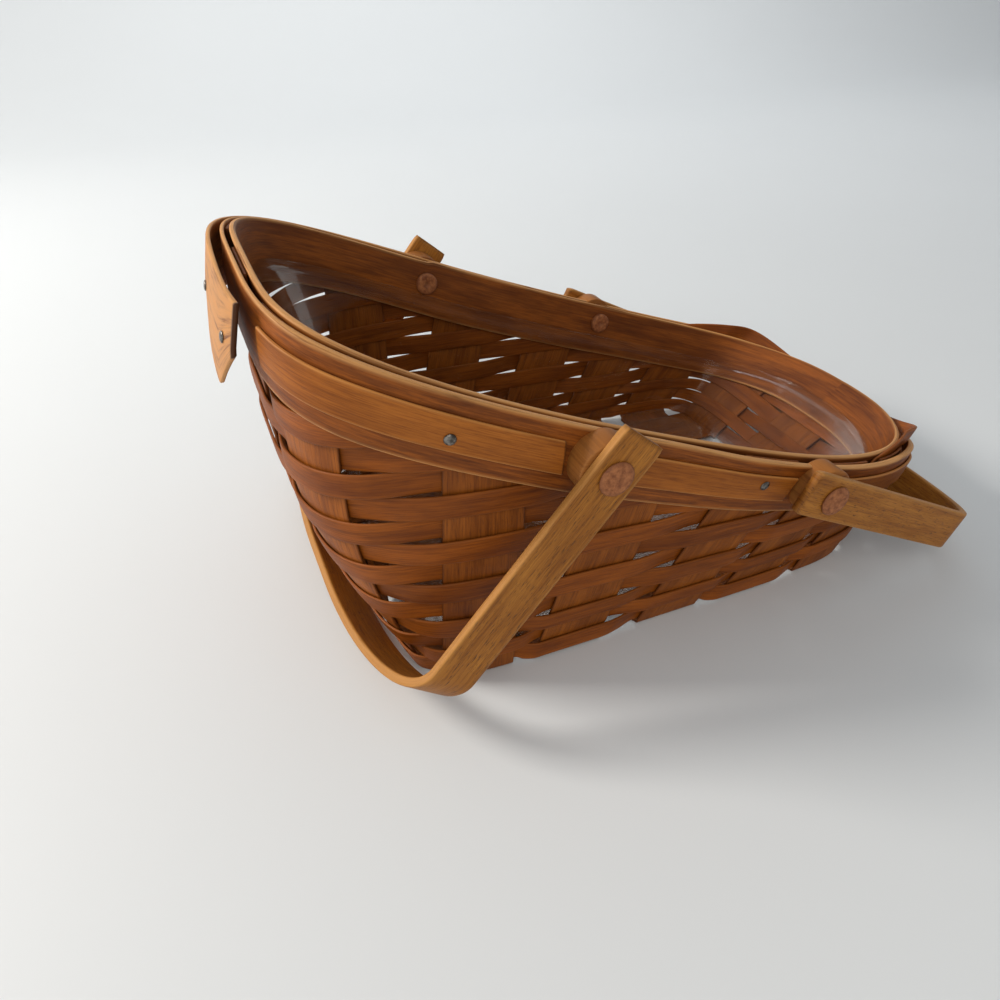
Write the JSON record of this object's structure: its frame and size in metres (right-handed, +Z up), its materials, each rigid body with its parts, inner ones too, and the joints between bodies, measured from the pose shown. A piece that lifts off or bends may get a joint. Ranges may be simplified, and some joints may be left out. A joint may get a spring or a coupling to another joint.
{
  "type": "slant basket",
  "caption": "Woven wooden splint basket with a rim that slopes down to one end, bent strap handles that swing on rivets, and a clear liner tray.",
  "frame": {"origin": "middle of the underside, on the table", "axes": "+X along the length to the low end, -Y to the front long side, +Z up"},
  "size_m": [0.3814, 0.2486, 0.1794],
  "materials": {
    "splint": "satin",
    "weaver": "satin",
    "band": "satin",
    "strap": "satin",
    "rivet": "satin",
    "tack": "worn",
    "liner": "gloss"
  },
  "bodies": {
    "basket": {"cross_splint_1": "splint", "cross_splint_2": "splint", "cross_splint_3": "splint", "cross_splint_4": "splint", "cross_splint_5": "splint", "long_splint_front": "splint", "long_splint_middle": "splint", "long_splint_back": "splint", "weaver_row_01": "weaver", "weaver_row_02": "weaver", "weaver_row_03": "weaver", "weaver_row_04": "weaver", "weaver_row_05": "weaver", "weaver_row_06": "weaver", "weaver_row_07": "weaver", "weaver_row_08": "weaver", "weaver_row_09": "weaver", "weaver_row_10": "weaver", "weaver_row_11": "weaver", "weaver_row_12": "weaver", "weaver_row_13": "weaver", "weaver_row_14": "weaver", "inner_rim_band": "band", "outer_rim_band": "band", "trim_back_tall": "band", "trim_front_tall": "band", "trim_front_middle": "band", "trim_low_end": "band", "trim_back_middle": "band", "washer_tall_front": "rivet", "washer_tall_back": "rivet", "washer_low_front": "rivet", "washer_low_back": "rivet", "rivet_tall_front": "rivet", "rivet_tall_back": "rivet", "rivet_low_front": "rivet", "rivet_low_back": "rivet", "tack_1": "tack", "tack_2": "tack", "tack_3": "tack", "tack_4": "tack", "tack_5": "tack", "tack_6": "tack", "tack_7": "tack", "tack_8": "tack", "liner": "liner"},
    "tall_handle": {"handle_tall": "strap"},
    "low_handle": {"handle_low": "strap"}
  },
  "joints": [
    {"name": "handle_tall_swing", "type": "hinge", "parent": "basket", "child": "tall_handle", "pos_m": [-0.061, 0, 0.1191], "axis": [0, 1, 0], "range_deg": [0, 162]},
    {"name": "handle_low_swing", "type": "hinge", "parent": "basket", "child": "low_handle", "pos_m": [0.058, 0, 0.07471], "axis": [0, -1, 0], "range_deg": [0, 136]}
  ]
}
